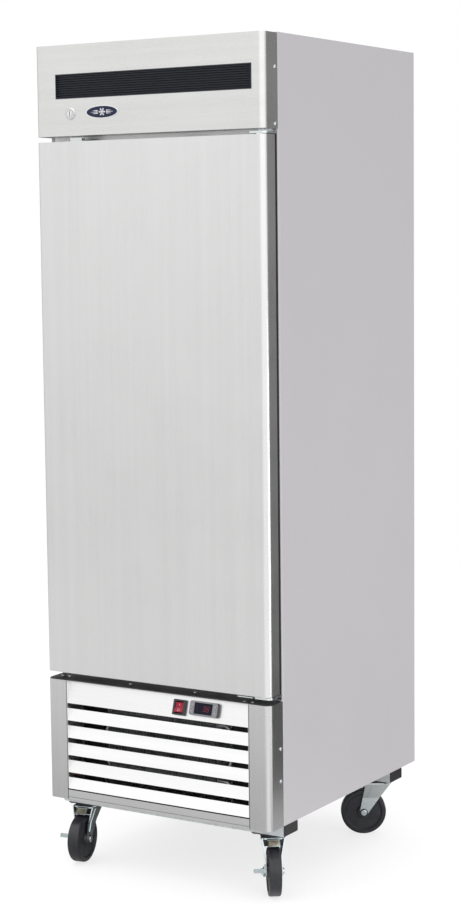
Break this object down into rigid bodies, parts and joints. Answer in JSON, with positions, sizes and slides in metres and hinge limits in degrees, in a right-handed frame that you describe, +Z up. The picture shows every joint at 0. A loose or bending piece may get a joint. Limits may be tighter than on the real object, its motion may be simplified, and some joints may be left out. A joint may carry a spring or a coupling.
{
  "type": "reach in refrigerator",
  "caption": "Tall one-door commercial reach-in refrigerator on castors, with a stainless door and header, wire shelves inside and a louvred machine compartment below.",
  "frame": {"origin": "on the floor under the middle of the cabinet's width and depth", "axes": "+X to the right seen from the front, +Y to the back, +Z up; the door faces -Y"},
  "size_m": [0.7049, 0.8164, 2.158],
  "materials": {
    "stainless": "satin",
    "painted_side": "satin",
    "galvanised": "matte",
    "foam": "matte",
    "liner_white": "satin",
    "shelf_coating": "satin",
    "zinc": "satin",
    "black_plastic": "satin",
    "grey_plastic": "satin",
    "dark_window": "gloss",
    "red_plastic": "gloss",
    "chromed": "polished",
    "badge_blue": "gloss",
    "gasket_rubber": "matte",
    "bearing_nylon": "satin",
    "lamp_lens": "gloss",
    "coil_fins": "satin",
    "copper": "satin",
    "machine_black": "satin",
    "wheel_rubber": "matte"
  },
  "bodies": {
    "cabinet": {"side_panel_left": "painted_side", "side_panel_right": "painted_side", "top_panel": "painted_side", "back_panel": "galvanised", "cabinet_insulation": "foam", "interior_liner": "liner_white", "front_frame": "stainless", "shelf_pilasters": "zinc", "shelf_clips": "zinc", "evaporator_cover": "liner_white", "evaporator_coil": "coil_fins", "interior_lamp": "lamp_lens", "header_panel": "stainless", "header_grille": "black_plastic", "header_badge": "badge_blue", "lock_housing": "chromed", "upper_hinge": "zinc", "lower_hinge": "zinc", "corner_posts": "stainless", "louvre_panel": "stainless", "lower_cap": "black_plastic", "machine_base": "stainless", "switch_housing": "black_plastic", "controller_housing": "grey_plastic", "controller_display": "dark_window", "compressor": "machine_black", "condenser_coil": "coil_fins", "condenser_shroud": "galvanised", "fan_motors": "machine_black", "refrigerant_lines": "copper", "cord_gland": "black_plastic", "base_channels": "galvanised", "castor_plates": "zinc", "panel_screws": "zinc"},
    "door": {"door_outer_panel": "stainless", "door_inner_panel": "liner_white", "door_insulation": "foam", "door_gasket": "gasket_rubber", "door_hinge_bushes": "bearing_nylon", "door_pull": "black_plastic", "lock_strike": "zinc"},
    "lock_plug": {"lock_plug": "chromed"},
    "switch_rocker": {"switch_rocker": "red_plastic"},
    "controller_key_left": {"controller_key_left": "grey_plastic"},
    "controller_key_right": {"controller_key_right": "grey_plastic"},
    "evaporator_fan": {"evaporator_fan": "black_plastic"},
    "condenser_fan": {"condenser_fan": "black_plastic"},
    "wire_shelf_bottom": {"wire_shelf_bottom": "shelf_coating"},
    "wire_shelf_middle": {"wire_shelf_middle": "shelf_coating"},
    "wire_shelf_top": {"wire_shelf_top": "shelf_coating"},
    "castor_fork_front_left": {"castor_fork_front_left": "zinc"},
    "castor_wheel_front_left": {"castor_wheel_front_left": "wheel_rubber"},
    "castor_brake_front_left": {"castor_brake_front_left": "zinc"},
    "castor_fork_front_right": {"castor_fork_front_right": "zinc"},
    "castor_wheel_front_right": {"castor_wheel_front_right": "wheel_rubber"},
    "castor_brake_front_right": {"castor_brake_front_right": "zinc"},
    "castor_fork_rear_left": {"castor_fork_rear_left": "zinc"},
    "castor_wheel_rear_left": {"castor_wheel_rear_left": "wheel_rubber"},
    "castor_fork_rear_right": {"castor_fork_rear_right": "zinc"},
    "castor_wheel_rear_right": {"castor_wheel_rear_right": "wheel_rubber"}
  },
  "joints": [
    {"name": "door_hinge", "type": "hinge", "parent": "cabinet", "child": "door", "pos_m": [0.321, -0.378, 1.219], "axis": [0, 0, 1], "range_deg": [0, 115]},
    {"name": "lock_turn", "type": "hinge", "parent": "cabinet", "child": "lock_plug", "pos_m": [-0.2325, -0.4, 1.982], "axis": [0, 1, 0], "range_deg": [0, 90]},
    {"name": "switch_rock", "type": "hinge", "parent": "cabinet", "child": "switch_rocker", "pos_m": [0.0725, -0.39116, 0.47086], "axis": [1, 0, 0], "range_deg": [0, 12]},
    {"name": "key_press_left", "type": "slide", "parent": "cabinet", "child": "controller_key_left", "axis": [0, 0.9581, -0.2865], "range_m": [0, 0.0008], "stiffness_N_per_m": 600},
    {"name": "key_press_right", "type": "slide", "parent": "cabinet", "child": "controller_key_right", "axis": [0, 0.9581, -0.2865], "range_m": [0, 0.0008], "stiffness_N_per_m": 600},
    {"name": "evaporator_fan_spin", "type": "hinge", "parent": "cabinet", "child": "evaporator_fan", "pos_m": [0, -0.04, 1.948], "axis": [0, 0, 1], "continuous": true},
    {"name": "condenser_fan_spin", "type": "hinge", "parent": "cabinet", "child": "condenser_fan", "pos_m": [-0.035, -0.205, 0.335], "axis": [0, 1, 0], "continuous": true},
    {"name": "shelf_lift_bottom", "type": "slide", "parent": "cabinet", "child": "wire_shelf_bottom", "axis": [0, 0, 1], "range_m": [0, 0.03]},
    {"name": "shelf_lift_middle", "type": "slide", "parent": "cabinet", "child": "wire_shelf_middle", "axis": [0, 0, 1], "range_m": [0, 0.03]},
    {"name": "shelf_lift_top", "type": "slide", "parent": "cabinet", "child": "wire_shelf_top", "axis": [0, 0, 1], "range_m": [0, 0.03]},
    {"name": "castor_swivel_front_left", "type": "hinge", "parent": "cabinet", "child": "castor_fork_front_left", "pos_m": [-0.288, -0.301, 0.148], "axis": [0, 0, 1], "continuous": true},
    {"name": "castor_roll_front_left", "type": "hinge", "parent": "castor_fork_front_left", "child": "castor_wheel_front_left", "pos_m": [-0.28071, -0.34236, 0.0625], "axis": [0.9848, 0.1736, 0], "continuous": true},
    {"name": "brake_press_front_left", "type": "hinge", "parent": "castor_fork_front_left", "child": "castor_brake_front_left", "pos_m": [-0.28071, -0.34236, 0.0625], "axis": [0.9848, 0.1736, 0], "range_deg": [0, 20]},
    {"name": "castor_swivel_front_right", "type": "hinge", "parent": "cabinet", "child": "castor_fork_front_right", "pos_m": [0.288, -0.301, 0.148], "axis": [0, 0, 1], "continuous": true},
    {"name": "castor_roll_front_right", "type": "hinge", "parent": "castor_fork_front_right", "child": "castor_wheel_front_right", "pos_m": [0.31239, -0.33519, 0.0625], "axis": [0.8141, 0.5807, 0], "continuous": true},
    {"name": "brake_press_front_right", "type": "hinge", "parent": "castor_fork_front_right", "child": "castor_brake_front_right", "pos_m": [0.31239, -0.33519, 0.0625], "axis": [0.8141, 0.5807, 0], "range_deg": [0, 20]},
    {"name": "castor_swivel_rear_left", "type": "hinge", "parent": "cabinet", "child": "castor_fork_rear_left", "pos_m": [-0.288, 0.283, 0.148], "axis": [0, 0, 1], "continuous": true},
    {"name": "castor_roll_rear_left", "type": "hinge", "parent": "castor_fork_rear_left", "child": "castor_wheel_rear_left", "pos_m": [-0.30236, 0.24353, 0.0625], "axis": [0.9397, -0.342, 0], "continuous": true},
    {"name": "castor_swivel_rear_right", "type": "hinge", "parent": "cabinet", "child": "castor_fork_rear_right", "pos_m": [0.288, 0.283, 0.148], "axis": [0, 0, 1], "continuous": true},
    {"name": "castor_roll_rear_right", "type": "hinge", "parent": "castor_fork_rear_right", "child": "castor_wheel_rear_right", "pos_m": [0.25238, 0.26074, 0.0625], "axis": [0.5299, -0.848, 0], "continuous": true}
  ]
}
